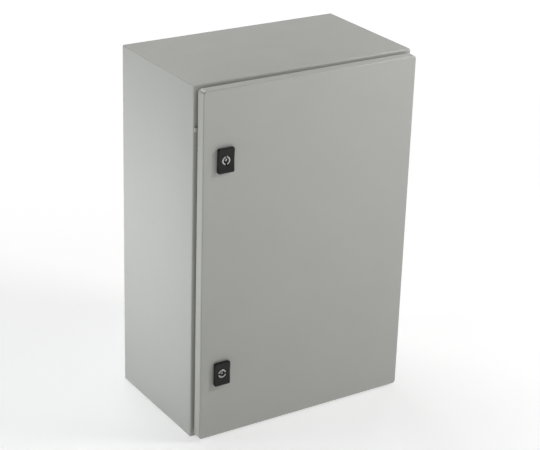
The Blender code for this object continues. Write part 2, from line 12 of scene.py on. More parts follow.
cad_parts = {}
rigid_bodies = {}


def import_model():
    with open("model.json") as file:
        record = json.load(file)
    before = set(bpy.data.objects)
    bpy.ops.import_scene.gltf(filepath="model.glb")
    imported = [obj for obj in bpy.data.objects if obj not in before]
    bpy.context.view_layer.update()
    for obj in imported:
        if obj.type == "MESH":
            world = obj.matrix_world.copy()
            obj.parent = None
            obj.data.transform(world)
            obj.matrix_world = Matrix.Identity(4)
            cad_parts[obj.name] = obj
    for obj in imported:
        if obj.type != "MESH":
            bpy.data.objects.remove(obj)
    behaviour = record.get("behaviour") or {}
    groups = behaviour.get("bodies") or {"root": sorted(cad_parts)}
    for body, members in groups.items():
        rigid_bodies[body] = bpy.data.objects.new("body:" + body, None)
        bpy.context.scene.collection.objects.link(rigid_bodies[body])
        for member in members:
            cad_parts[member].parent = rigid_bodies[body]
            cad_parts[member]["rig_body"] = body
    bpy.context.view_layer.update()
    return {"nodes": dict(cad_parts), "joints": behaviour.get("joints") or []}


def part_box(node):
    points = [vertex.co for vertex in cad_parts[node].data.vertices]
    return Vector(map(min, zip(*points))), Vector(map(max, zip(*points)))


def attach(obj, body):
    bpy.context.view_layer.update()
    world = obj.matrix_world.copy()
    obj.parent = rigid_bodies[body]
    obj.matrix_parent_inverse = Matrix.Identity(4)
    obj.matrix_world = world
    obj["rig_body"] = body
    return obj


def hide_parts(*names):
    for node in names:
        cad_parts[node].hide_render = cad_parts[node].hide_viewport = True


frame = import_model()

# Sheet metal, as in the CAD.
SHEET = 0.0015
FLANGE = 0.024
LIP = 0.012
DOOR_RETURN = 0.009
DOOR_CORNER = 0.006
FOLD_RADIUS = 0.0025
FAR = 0.02

BODY_LOW, BODY_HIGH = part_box("cabinet_body")
DOOR_LOW, DOOR_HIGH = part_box("door_panel")
FLANGE_FACE = BODY_LOW.y + LIP
MIDDLE = (BODY_LOW.z + BODY_HIGH.z) / 2
HINGE = Vector(next(j["pos_m"] for j in frame["joints"] if j["name"] == "door_hinge"))
SIDES = ("lower", "upper")


# Mesh tools.


def mesh_of(bm):
    mesh = bpy.data.meshes.new("shape")
    bm.to_mesh(mesh)
    bm.free()
    return mesh


def bmesh_from(mesh):
    bm = bmesh.new()
    bm.from_mesh(mesh)
    return bm


def joined(*meshes):
    bm = bmesh.new()
    for mesh in meshes:
        bm.from_mesh(mesh)
    return mesh_of(bm)


def moved(mesh, matrix):
    mesh = mesh.copy()
    mesh.transform(matrix)
    return mesh


def at(x, y, z):
    return Matrix.Translation((x, y, z))


def turn(degrees, axis):
    return Matrix.Rotation(math.radians(degrees), 4, axis)


def along_y(x, y, z):
    """Placement that lays +Z along +Y."""
    return at(x, y, z) @ turn(-90, "X")


def against_y(x, y, z):
    """Placement that lays +Z along -Y."""
    return at(x, y, z) @ turn(90, "X")


def box_matrix(low, high):
    low, high = Vector(low), Vector(high)
    return Matrix.Translation((low + high) / 2) @ Matrix.Diagonal((*(high - low), 1.0))


def block(low, high):
    bm = bmesh.new()
    bmesh.ops.create_cube(bm, size=1.0, matrix=box_matrix(low, high))
    return mesh_of(bm)


def lathe(profile, steps=48):
    """A solid turned about +Z from (radius, height) points that run down its outside, from axis to axis."""
    bm = bmesh.new()
    rings = []
    for radius, height in profile:
        if radius < 1e-7:
            rings.append([bm.verts.new((0, 0, height))])
            continue
        angles = (2 * math.pi * k / steps for k in range(steps))
        rings.append([bm.verts.new((radius * math.cos(a), radius * math.sin(a), height)) for a in angles])
    for upper, lower in zip(rings, rings[1:]):
        for k in range(steps):
            near, far = k, (k + 1) % steps
            if len(upper) == 1:
                bm.faces.new((upper[0], lower[near], lower[far]))
            elif len(lower) == 1:
                bm.faces.new((upper[far], upper[near], lower[0]))
            else:
                bm.faces.new((upper[far], upper[near], lower[near], lower[far]))
    bmesh.ops.recalc_face_normals(bm, faces=bm.faces)
    return mesh_of(bm)


def rod(radius, low, high, steps=48):
    """A round bar along +Z, or a regular prism."""
    return lathe([(0, high), (radius, high), (radius, low), (0, low)], steps)


def threaded(radius, pitch, depth, low, high, steps=32, bore=0.0):
    """A helical thread along +Z that runs out at both ends, solid, or a tube where it has a bore."""
    rows = max(8, int((high - low) / pitch * 6))
    bm = bmesh.new()
    rings = []
    for row in range(rows + 1):
        height = low + (high - low) * row / rows
        fade = min(1.0, (height - low) / pitch, (high - height) / pitch)
        ring = []
        for k in range(steps):
            angle = 2 * math.pi * k / steps
            phase = (height / pitch - k / steps) % 1.0
            cutting = depth * abs(2 * phase - 1) * (0.5 + 0.5 * fade) + (1 - fade) * depth * 0.5
            here = radius - cutting
            ring.append(bm.verts.new((here * math.cos(angle), here * math.sin(angle), height)))
        rings.append(ring)
    for lower, upper in zip(rings, rings[1:]):
        for k in range(steps):
            far = (k + 1) % steps
            bm.faces.new((lower[k], lower[far], upper[far], upper[k]))
    if bore:
        inner = []
        for height in (low, high):
            angles = (2 * math.pi * k / steps for k in range(steps))
            inner.append([bm.verts.new((bore * math.cos(a), bore * math.sin(a), height)) for a in angles])
        for k in range(steps):
            far = (k + 1) % steps
            bm.faces.new((inner[0][far], inner[0][k], inner[1][k], inner[1][far]))
            bm.faces.new((rings[0][far], rings[0][k], inner[0][k], inner[0][far]))
            bm.faces.new((rings[-1][k], rings[-1][far], inner[1][far], inner[1][k]))
    else:
        bm.faces.new(list(reversed(rings[0])))
        bm.faces.new(rings[-1])
    bmesh.ops.recalc_face_normals(bm, faces=bm.faces)
    return mesh_of(bm)


def rounded(width, height, radius, steps=6):
    """Corner points of a rectangle with round corners, anticlockwise."""
    points = []
    for corner, (side_x, side_y) in enumerate(((1, 1), (-1, 1), (-1, -1), (1, -1))):
        middle = Vector((side_x * (width / 2 - radius), side_y * (height / 2 - radius)))
        for step in range(steps + 1):
            angle = math.pi / 2 * (corner + step / steps)
            points.append(middle + radius * Vector((math.cos(angle), math.sin(angle))))
    return points


def circle(x, y, radius, steps=32):
    angles = (2 * math.pi * k / steps for k in range(steps))
    return [Vector((x + radius * math.cos(a), y + radius * math.sin(a))) for a in angles]


def plate(outlines, low, high):
    """A flat plate in X and Y between closed outlines, the first outside and the rest holes."""
    curve = bpy.data.curves.new("outline", "CURVE")
    curve.dimensions = "2D"
    curve.fill_mode = "BOTH"
    curve.extrude = (high - low) / 2
    for outline in outlines:
        spline = curve.splines.new("POLY")
        spline.points.add(len(outline) - 1)
        for point, (x, y) in zip(spline.points, outline):
            point.co = (x, y, 0.0, 1.0)
        spline.use_cyclic_u = True
    helper = bpy.data.objects.new("outline", curve)
    bpy.context.scene.collection.objects.link(helper)
    bm = bmesh_from(evaluated(helper))
    bpy.data.objects.remove(helper)
    bmesh.ops.remove_doubles(bm, verts=bm.verts, dist=1e-6)
    bmesh.ops.recalc_face_normals(bm, faces=bm.faces)
    bmesh.ops.dissolve_limit(bm, angle_limit=0.001, verts=bm.verts, edges=bm.edges)
    bmesh.ops.translate(bm, verts=bm.verts, vec=(0, 0, (low + high) / 2))
    return mesh_of(bm)


def evaluated(obj):
    bpy.context.view_layer.update()
    return bpy.data.meshes.new_from_object(obj.evaluated_get(bpy.context.evaluated_depsgraph_get()))


def modified(mesh, *steps):
    """The mesh after a list of (kind, settings) modifiers."""
    obj = bpy.data.objects.new("working", mesh)
    bpy.context.scene.collection.objects.link(obj)
    helpers = []
    for kind, settings in steps:
        if kind == "BOOLEAN":
            other = bpy.data.objects.new("cutter", settings["mesh"])
            bpy.context.scene.collection.objects.link(other)
            helpers.append(other)
            settings = {"operation": settings["operation"], "object": other}
        modifier = obj.modifiers.new(kind, kind)
        for key, value in settings.items():
            setattr(modifier, key, value)
    result = evaluated(obj)
    for helper in (obj, *helpers):
        bpy.data.objects.remove(helper)
    return result


def bevel(mesh, width, segments=3, angle=35):
    bm = bmesh_from(mesh)
    bmesh.ops.remove_doubles(bm, verts=bm.verts, dist=1e-6)
    bmesh.ops.dissolve_limit(bm, angle_limit=math.radians(0.5), verts=bm.verts, edges=bm.edges)
    mesh = mesh_of(bm)
    settings = {"width": width, "segments": segments, "limit_method": "ANGLE", "angle_limit": math.radians(angle)}
    return modified(mesh, ("BEVEL", settings))


def cut(mesh, *others):
    return modified(mesh, ("BOOLEAN", {"operation": "DIFFERENCE", "mesh": joined(*others)}))


def join(mesh, *others):
    for other in others:
        mesh = modified(mesh, ("BOOLEAN", {"operation": "UNION", "mesh": other}))
    return mesh


def meet(mesh, other):
    return modified(mesh, ("BOOLEAN", {"operation": "INTERSECT", "mesh": other}))


def piece(name, mesh, node, finish, sharp=32):
    """A shown piece that stands for a CAD node and moves with its body."""
    mesh.materials.clear()
    mesh.materials.append(finish)
    mesh.shade_smooth()
    mesh.set_sharp_from_angle(angle=math.radians(sharp))
    obj = bpy.data.objects.new(name, mesh)
    bpy.context.scene.collection.objects.link(obj)
    modifier = obj.modifiers.new("Weighted normals", "WEIGHTED_NORMAL")
    modifier.keep_sharp = True
    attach(obj, frame["nodes"][node]["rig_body"])
    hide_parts(node)
    return obj


# Finishes.


class Finish:
    """A Principled material and short ways to wire its nodes."""

    def __init__(self, name, colour, roughness, metallic=0.0):
        self.material = bpy.data.materials.new(name)
        self.material.use_nodes = True
        self.tree = self.material.node_tree
        self.shader = self.tree.nodes["Principled BSDF"]
        self.shader.inputs["Base Color"].default_value = (*colour, 1)
        self.shader.inputs["Roughness"].default_value = roughness
        self.shader.inputs["Metallic"].default_value = metallic
        self.place = self.tree.nodes.new("ShaderNodeTexCoord").outputs["Object"]

    def link(self, output, socket):
        self.tree.links.new(output, socket)

    def node(self, kind, **inputs):
        made = self.tree.nodes.new(kind)
        for key, value in inputs.items():
            made.inputs[key.replace("_", " ")].default_value = value
        return made

    def stretched(self, scale):
        mapping = self.node("ShaderNodeMapping", Scale=scale)
        self.link(self.place, mapping.inputs["Vector"])
        return mapping.outputs["Vector"]

    def noise(self, scale, detail=3.0, rough=0.5, vector=None):
        made = self.node("ShaderNodeTexNoise", Scale=scale, Detail=detail, Roughness=rough)
        self.link(vector or self.place, made.inputs["Vector"])
        return made.outputs["Fac"]

    def cells(self, scale, output="Distance", feature="F1", vector=None):
        made = self.node("ShaderNodeTexVoronoi", Scale=scale)
        made.feature = feature
        self.link(vector or self.place, made.inputs["Vector"])
        return made.outputs[output]

    def ramp(self, factor, low, high, first, last):
        made = self.tree.nodes.new("ShaderNodeValToRGB")
        made.color_ramp.elements[0].position = low
        made.color_ramp.elements[1].position = high
        made.color_ramp.elements[0].color = (*first, 1)
        made.color_ramp.elements[1].color = (*last, 1)
        self.link(factor, made.inputs["Fac"])
        return made.outputs["Color"]

    def between(self, factor, low, high, out_low, out_high):
        made = self.node("ShaderNodeMapRange")
        for key, value in zip(("From Min", "From Max", "To Min", "To Max"), (low, high, out_low, out_high)):
            made.inputs[key].default_value = value
        self.link(factor, made.inputs["Value"])
        return made.outputs["Result"]

    def mixed(self, factor, first, second):
        made = self.tree.nodes.new("ShaderNodeMix")
        made.data_type = "RGBA"
        self.link(factor, made.inputs["Factor"])
        for name, value in (("A", first), ("B", second)):
            socket = next(s for s in made.inputs if s.name == name and s.type == "RGBA")
            if isinstance(value, tuple):
                socket.default_value = (*value, 1)
            else:
                self.link(value, socket)
        return next(s for s in made.outputs if s.type == "RGBA")

    def bumped(self, height, strength, distance, after=None):
        made = self.node("ShaderNodeBump", Strength=strength, Distance=distance)
        self.link(height, made.inputs["Height"])
        if after is not None:
            self.link(after, made.inputs["Normal"])
        return made.outputs["Normal"]

    def set(self, **sockets):
        for name, output in sockets.items():
            self.link(output, self.shader.inputs[name.replace("_", " ")])
        return self.material


def powder_coat(name, colour):
    """Fine orange-peel paint with faint unevenness in its tone and gloss."""
    f = Finish(name, colour, 0.36)
    darker, lighter = (tuple(min(1, c * k) for c in colour) for k in (0.985, 1.015))
    tone = f.ramp(f.noise(9, 4, 0.6), 0.3, 0.7, darker, lighter)
    grain = f.noise(1400, 2)
    tone = f.mixed(f.between(grain, 0.35, 0.65, 0.0, 0.05), tone, tuple(c * 0.82 for c in colour))
    peel = f.bumped(f.noise(420, 2, 0.4), 0.10, 0.0004)
    fine = f.bumped(grain, 0.05, 0.0002, peel)
    return f.set(Base_Color=tone, Roughness=f.between(f.noise(30, 3), 0.3, 0.7, 0.33, 0.40), Normal=fine)


def moulded_plastic(name):
    """Black moulding with a fine spark-eroded grain."""
    f = Finish(name, (0.012, 0.012, 0.012), 0.42)
    f.shader.inputs["Specular IOR Level"].default_value = 0.25
    grain = f.noise(2600, 2, 0.6)
    tone = f.ramp(f.noise(160, 3), 0.3, 0.7, (0.008, 0.008, 0.007), (0.013, 0.013, 0.012))
    rough = f.between(grain, 0.3, 0.7, 0.34, 0.5)
    return f.set(Base_Color=tone, Roughness=rough, Normal=f.bumped(grain, 0.12, 0.0002))


def bright_metal(name, light, dark, roughness, patch, stretch=(1, 1, 1), scratch=0.06):
    """Plated or cast metal with cloudy tone, fine marks along one direction and uneven gloss."""
    f = Finish(name, light, roughness, 1.0)
    tone = f.ramp(f.noise(patch, 4, 0.6), 0.35, 0.65, dark, light)
    marks = f.noise(1.0, 2, 0.6, f.stretched(tuple(900 * s for s in stretch)))
    tone = f.mixed(f.between(marks, 0.45, 0.75, 0.0, 0.25), tone, dark)
    rough = f.between(f.noise(patch * 3, 3), 0.3, 0.7, roughness * 0.8, roughness * 1.25)
    return f.set(Base_Color=tone, Roughness=rough, Normal=f.bumped(marks, scratch, 0.0001))


def spangled(name):
    """Galvanised sheet: zinc crystals, each with its own tone and gloss."""
    f = Finish(name, (0.55, 0.57, 0.59), 0.4, 1.0)
    ragged = f.node("ShaderNodeTexNoise", Scale=210.0, Detail=3.0)
    f.link(f.place, ragged.inputs["Vector"])
    shifted = f.node("ShaderNodeVectorMath")
    shifted.operation = "MULTIPLY_ADD"
    f.link(ragged.outputs["Color"], shifted.inputs[0])
    shifted.inputs[1].default_value = (0.006, 0.006, 0.006)
    f.link(f.place, shifted.inputs[2])
    flowers = shifted.outputs["Vector"]
    crystal = f.cells(105, "Color", "F1", flowers)
    tone = f.ramp(crystal, 0.15, 0.85, (0.47, 0.49, 0.505), (0.60, 0.62, 0.635))
    tone = f.mixed(f.between(f.noise(14, 4), 0.4, 0.7, 0.0, 0.4), tone, (0.52, 0.54, 0.55))
    rough = f.between(crystal, 0.1, 0.9, 0.36, 0.48)
    grain = f.bumped(f.noise(900, 2), 0.08, 0.0002)
    edge = f.bumped(f.cells(105, "Distance", "DISTANCE_TO_EDGE", flowers), 0.02, 0.0003, grain)
    return f.set(Base_Color=tone, Roughness=rough, Normal=edge)


def foam(name):
    """Poured polyurethane seal: a closed skin with pores and slow waves along it."""
    f = Finish(name, (0.035, 0.035, 0.037), 0.85)
    pores = f.cells(1500)
    tone = f.ramp(pores, 0.05, 0.5, (0.016, 0.016, 0.017), (0.045, 0.045, 0.047))
    waves = f.bumped(f.noise(120, 3), 0.3, 0.0008)
    rough = f.between(f.noise(300, 2), 0.3, 0.7, 0.75, 0.95)
    return f.set(Base_Color=tone, Roughness=rough, Normal=f.bumped(pores, 0.25, 0.0003, waves))


def sheet_rubber(name):
    f = Finish(name, (0.02, 0.02, 0.021), 0.7)
    grain = f.noise(1800, 2)
    tone = f.ramp(f.noise(90, 3), 0.3, 0.7, (0.016, 0.016, 0.017), (0.028, 0.028, 0.029))
    rough = f.between(grain, 0.3, 0.7, 0.6, 0.8)
    return f.set(Base_Color=tone, Roughness=rough, Normal=f.bumped(grain, 0.15, 0.0002))


PAINT = powder_coat("grey_powder_coat", (0.430, 0.432, 0.408))
PLASTIC = moulded_plastic("black_moulding")
CAST_ZINC = bright_metal("nickelled_zinc", (0.48, 0.475, 0.46), (0.36, 0.355, 0.345), 0.32, 120, (1, 1, 1), 0.10)
PLATED = bright_metal("zinc_plating", (0.66, 0.68, 0.71), (0.50, 0.52, 0.54), 0.28, 60, (0.15, 1, 1))
GALVANISED = spangled("galvanised_sheet")
FOAM = foam("foam_seal")
RUBBER = sheet_rubber("rubber_sheet")


# Sheet metal.


def open_box(low, high, open_side):
    bm = bmesh.new()
    bmesh.ops.create_cube(bm, size=1.0, matrix=box_matrix(low, high))
    bm.normal_update()
    gone = [f for f in bm.faces if f.normal.dot(Vector(open_side)) > 0.9]
    bmesh.ops.delete(bm, geom=gone, context="FACES_ONLY")
    return bm


def fold(bm, plane, inwards, forwards):
    """Folds a new strip from the open edge that lies at a plane across the depth."""
    rim = [e for e in bm.edges if e.is_boundary and all(abs(v.co.y - plane) < 1e-6 for v in e.verts)]
    made = bmesh.ops.extrude_edge_only(bm, edges=rim)["geom"]
    for vert in (v for v in made if isinstance(v, bmesh.types.BMVert)):
        vert.co.x -= math.copysign(inwards, vert.co.x)
        vert.co.z -= math.copysign(inwards, vert.co.z - MIDDLE)
        vert.co.y -= forwards


def fold_bevel(segments):
    settings = {"width": FOLD_RADIUS, "segments": segments, "limit_method": "ANGLE", "angle_limit": math.radians(40)}
    return ("BEVEL", settings)


THICKEN = ("SOLIDIFY", {"thickness": SHEET, "offset": -1.0, "use_even_offset": True})


def hole_y(x, z, radius, y, steps=40):
    return moved(rod(radius, -FAR, FAR, steps), along_y(x, y, z))


def middle_of(node):
    low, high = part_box(node)
    return (low + high) / 2


def cabinet_shell():
    low = Vector((BODY_LOW.x, FLANGE_FACE, BODY_LOW.z))
    bm = open_box(low, BODY_HIGH, (0, -1, 0))
    fold(bm, FLANGE_FACE, FLANGE, 0.0)
    fold(bm, FLANGE_FACE, 0.0, LIP)
    bmesh.ops.recalc_face_normals(bm, faces=bm.faces)
    shell = modified(mesh_of(bm), fold_bevel(5), THICKEN)
    gasket_low, gasket_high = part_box("gland_gasket")
    centre = (gasket_low + gasket_high) / 2
    opening = moved(plate([rounded(0.290, 0.100, 0.008)], -FAR / 2, FAR / 2), at(0, centre.y, 0))
    holes = [opening]
    for k in range(1, 7):
        place = middle_of(f"gland_screw_{k}")
        holes.append(moved(rod(0.0028, -FAR / 2, FAR / 2), at(place.x, place.y, 0)))
    holes += [hole_y(x, MIDDLE + z, 0.0045, BODY_HIGH.y) for x in (-0.18, 0.18) for z in (-0.28, 0.28)]
    piece("cabinet_shell", cut(shell, *holes), "cabinet_body", PAINT)


def door_tray():
    bm = open_box(DOOR_LOW, DOOR_HIGH, (0, 1, 0))
    weight = bm.edges.layers.float.new("bevel_weight_edge")
    depth = DOOR_HIGH.y - DOOR_LOW.y
    for edge in bm.edges:
        edge[weight] = float(abs(edge.verts[0].co.y - edge.verts[1].co.y) > depth / 2)
    fold(bm, DOOR_HIGH.y, DOOR_RETURN, 0.0)
    bmesh.ops.recalc_face_normals(bm, faces=bm.faces)
    round_corners = ("BEVEL", {"width": DOOR_CORNER, "segments": 8, "limit_method": "WEIGHT"})
    tray = modified(mesh_of(bm), round_corners, fold_bevel(5), THICKEN)
    holes = []
    for side in SIDES:
        lock = middle_of(f"{side}_lock_housing")
        holes.append(hole_y(lock.x, lock.z, 0.0103, DOOR_LOW.y))
        z = middle_of(f"{side}_hinge_bracket").z
        holes.append(block((HINGE.x - 0.002, DOOR_LOW.y + 0.003, z - 0.024), (0.21, DOOR_HIGH.y + FAR, z + 0.024)))
    tray = cut(tray, *holes)
    piece("door_tray", tray, "door_panel", PAINT)



def span(node, axis):
    """The node's lowest and highest value along an axis."""
    low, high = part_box(node)
    return low["xyz".index(axis)], high["xyz".index(axis)]


def door_seal():
    """Poured foam bead with a domed top that waves a little, as it sets."""
    low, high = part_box("door_gasket")
    width, height, depth = high.x - low.x, high.z - low.z, high.y - low.y
    profile = [(0, 0), (0, 0.36), (0.04, 0.55), (0.11, 0.74), (0.22, 0.89), (0.35, 0.97), (0.5, 1.0)]
    profile += [(1 - across, up) for across, up in reversed(profile[:-1])]
    bm = bmesh.new()
    rings = []
    for across, up in profile:
        inset = across * 0.011
        ring = []
        corners = rounded(width - 2 * inset, height - 2 * inset, 0.012, 8)
        for first, second in zip(corners, corners[1:] + corners[:1]):
            count = max(1, int((second - first).length / 0.006))
            ring += [first.lerp(second, step / count) for step in range(count)]
        rings.append(ring)
    count = min(len(ring) for ring in rings)
    rows = []
    for (across, up), ring in zip(profile, rings):
        row = []
        for k in range(count):
            x, z = ring[int(k * len(ring) / count)]
            wave = 1 - 0.03 * up * (1 + math.sin(61 * (x + z)) * math.cos(47 * (x - z) + 3 * across))
            row.append(bm.verts.new((x, low.y + depth * up * wave, MIDDLE + z)))
        rows.append(row)
    for first, second in zip(rows, rows[1:] + rows[:1]):
        for k in range(count):
            far = (k + 1) % count
            bm.faces.new((first[k], first[far], second[far], second[k]))
    bmesh.ops.recalc_face_normals(bm, faces=bm.faces)
    piece("foam_seal", mesh_of(bm), "door_gasket", FOAM, 60)


def rail(side):
    node = f"{side}_side_rail"
    low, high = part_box(node)
    bm = open_box(low, high, (0, -1, 0))
    gone = [f for f in bm.faces if abs(f.normal.z) > 0.9]
    bmesh.ops.delete(bm, geom=gone, context="FACES_ONLY")
    channel = modified(mesh_of(bm), fold_bevel(5), THICKEN)
    middle = (low + high) / 2
    holes = [hole_y(middle.x, MIDDLE + 0.030 * k, 0.0025, high.y, 24) for k in range(-8, 9)]
    holes = [meet(hole, block((-1, high.y - 0.004, -1), (1, high.y + 0.01, 1))) for hole in holes]
    piece(f"{side}_side_channel", bevel(cut(channel, *holes), 0.0002, 1), node, PAINT)


def hexagon(flats, low, high, bore, flange=0.0):
    """A nut along +Z with chamfered corners, a chamfered bore and, if asked, a round flange at its foot."""
    corner = flats / math.sqrt(3)
    chamfer = (corner - flats / 2) * 0.55
    turned = lathe([(0, high), (flats / 2 * 0.96, high), (corner, high - chamfer), (corner, low), (0, low)], 72)
    nut = meet(rod(corner, low, high, 6), turned)
    if flange:
        wide = corner * 1.15
        collar = [(0, low + flange), (corner * 0.95, low + flange), (wide, low + 0.4 * flange), (wide, low), (0, low)]
        nut = join(nut, lathe(collar, 64))
    lead = 0.0006
    mouths = [(0, high + lead), (bore + 2 * lead, high + lead), (bore, high - lead)]
    mouths += [(bore, low + lead), (bore + 2 * lead, low - lead), (0, low - lead)]
    return cut(nut, lathe(mouths, 48))


def threaded_bar(radius, pitch, base, low, high):
    """A stud along +Z: a turned base from 0 up to its thread, which starts at low."""
    foot = lathe([(0, low + pitch), (radius * 0.86, low + pitch), (radius * 0.86, low), *base, (0, 0)])
    thread = threaded(radius, pitch, radius * 0.14, low, high - radius * 0.2)
    end = [(0, high), (radius * 0.68, high), (radius * 0.88, high - radius * 0.22), (0, high - radius * 0.24)]
    return joined(foot, thread, lathe(end))


def crossed_recess(height):
    """Cutter for a cross recess in a screw's head, sunk from a height."""
    arm = block((-0.0024, -0.0006, height - 0.0021), (0.0024, 0.0006, height + 0.001))
    tip = lathe([(0, height + 0.001), (0.0016, height + 0.001), (0.0007, height - 0.0026), (0, height - 0.0027)], 24)
    return join(arm, moved(arm, turn(90, "Z")), tip)


def flanged_screw(radius, length):
    """Pan head on a thin flange, with its threaded shank running down from 0."""
    head = [(0, 0.0048), (0.0026, 0.0048), (0.0035, 0.0045), (0.0041, 0.0038), (0.0042, 0.0030), (0.0042, 0.0016)]
    head += [(0.0050, 0.0013), (0.0062, 0.0010), (0.0066, 0.0006), (0.0065, 0.0), (0, 0)]
    shank = threaded(radius, 0.0008, radius * 0.14, -length, 0.0004, 28)
    return joined(cut(lathe(head, 64), crossed_recess(0.0048)), shank)


def plate_fixings():
    """Welded studs, the mounting plate and its flange nuts."""
    front, rear = span("mounting_plate", "y")
    low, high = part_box("mounting_plate")
    half_x, half_z = (high.x - low.x) / 2, (high.z - low.z) / 2
    outline = []
    for x, z in ((1, 1), (-1, 1), (-1, -1), (1, -1)):
        corners = [Vector((x * half_x, z * (half_z - 0.028))), Vector((x * (half_x - 0.028), z * half_z))]
        outline += corners if x * z > 0 else corners[::-1]
    places = [middle_of(f"plate_stud_{k}") for k in range(1, 5)]
    holes = [circle(p.x, MIDDLE - p.z, 0.0046, 40) for p in places]
    slab = plate([outline, *holes], front, rear)
    slab.transform(turn(-90, "X"))
    slab.transform(at(0, 0, MIDDLE))
    piece("back_plate", bevel(slab, 0.0003, 2), "mounting_plate", GALVANISED)
    foot, tip = span("plate_stud_1", "y")[::-1]
    length = foot - tip
    base = [(0.0062, 0.014), (0.007, 0.0134), (0.007, 0.0016), (0.0078, 0.0)]
    base = [(min(r, 0.007), h) for r, h in base]
    stud = threaded_bar(0.004, 0.00125, base, 0.014, length)
    nut_front, nut_rear = span("plate_nut_1", "y")
    nut = hexagon(0.013, 0.0, nut_rear - nut_front, 0.0042, 0.0016)
    for k, p in enumerate(places, 1):
        piece(f"plate_bolt_{k}", moved(stud, against_y(p.x, foot, p.z)), f"plate_stud_{k}", PLATED)
        piece(f"flange_nut_{k}", moved(nut, against_y(p.x, nut_rear, p.z)), f"plate_nut_{k}", PLATED)


def gland_fittings():
    """The blank gland plate with its gasket and screws, over the opening in the base."""
    places = [middle_of(f"gland_screw_{k}") for k in range(1, 7)]
    for name, node, finish, opening, edge in (
        ("gland_seal", "gland_gasket", RUBBER, True, 0.0003),
        ("gland_cover", "gland_plate", PAINT, False, 0.0004),
    ):
        low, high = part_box(node)
        middle = (low + high) / 2
        outlines = [rounded(high.x - low.x, high.y - low.y, 0.008)]
        if opening:
            outlines.append(rounded(0.2912, 0.1012, 0.008))
        outlines += [circle(p.x, p.y - middle.y, 0.0031) for p in places]
        slab = moved(plate(outlines, low.z, high.z), at(0, middle.y, 0))
        piece(name, bevel(slab, edge, 2), node, finish)
    low, high = span("gland_screw_1", "z")
    screw = flanged_screw(0.0025, high - low - 0.0048)
    for k, p in enumerate(places, 1):
        spin = turn(37 * k, "Z")
        piece(f"cover_screw_{k}", moved(screw, at(p.x, p.y, high - 0.0048) @ spin), f"gland_screw_{k}", PLATED)


def earthing(prefix, place, length):
    """Earthing stud with its washer and nut, standing on the placement's plane."""
    base = [(0.0056, 0.0015), (0.0065, 0.0011), (0.0065, 0.0)]
    stud = threaded_bar(0.003, 0.001, base, 0.0015, length)
    piece(f"{prefix}_bolt", moved(stud, place), f"{prefix}_stud", PLATED)
    low, high = 0.0018, 0.0029
    profile = [(0, high), (0.0060, high), (0.0062, high - 0.0002)]
    profile += [(0.0062, low + 0.0002), (0.0060, low), (0, low)]
    ring = lathe(profile, 64)
    ring = cut(ring, rod(0.0033, 0, 0.01))
    piece(f"{prefix}_ring", moved(ring, place), f"{prefix}_washer", PLATED)
    nut = hexagon(0.010, 0.0032, 0.0082, 0.0032)
    piece(f"{prefix}_hexagon", moved(nut, place), f"{prefix}_nut", PLATED)


def hinge(side):
    """A bracket on the flange with two ears, the door's knuckle between them and a headed pin through all."""
    z = middle_of(f"{side}_hinge_bracket").z
    low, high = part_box(f"{side}_hinge_bracket")
    rear = high.y
    front = rear - 0.0013
    strip = bevel(block((low.x, front, low.z), (high.x, rear, high.z)), 0.0003, 2)
    bore = moved(rod(0.0023, low.z - 0.01, high.z + 0.01), at(HINGE.x, HINGE.y, 0))
    ears = []
    for bottom in (low.z, high.z - 0.009):
        stem = block((HINGE.x - 0.0038, HINGE.y, bottom), (HINGE.x + 0.001, rear - 0.0004, bottom + 0.009))
        ear = moved(rod(0.0042, bottom, bottom + 0.009), at(HINGE.x, HINGE.y, 0))
        ears.append(bevel(cut(join(ear, stem), bore), 0.0003, 2))
    piece(f"{side}_bracket", joined(strip, *ears), f"{side}_hinge_bracket", PLATED)

    low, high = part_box(f"{side}_hinge_leaf")
    leaf = block((low.x, low.y, low.z), (high.x, low.y + 0.0018, high.z))
    leaf = join(
        leaf,
        block((HINGE.x - 0.0025, low.y + 0.0009, low.z), (HINGE.x + 0.0025, HINGE.y, high.z)),
        moved(rod(0.004, low.z, high.z), at(HINGE.x, HINGE.y, 0)),
    )
    piece(f"{side}_knuckle", bevel(cut(leaf, bore), 0.0003, 2), f"{side}_hinge_leaf", PLATED)

    low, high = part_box(f"{side}_hinge_pin")
    head, tail = high.z - z, low.z - z
    profile = [(0, head), (0.0022, head - 0.0001), (0.0032, head - 0.0005)]
    profile += [(0.0036, head - 0.0011), (0.0036, head - 0.002)]
    profile += [(0.0020, head - 0.002), (0.0020, tail + 0.0008), (0.0012, tail), (0, tail)]
    piece(f"{side}_pivot", moved(lathe(profile, 40), at(HINGE.x, HINGE.y, z)), f"{side}_hinge_pin", PLATED)


def stop_pad():
    low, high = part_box("door_buffer")
    piece("stop_pad", bevel(block(low, high), 0.0010, 5), "door_buffer", PAINT)


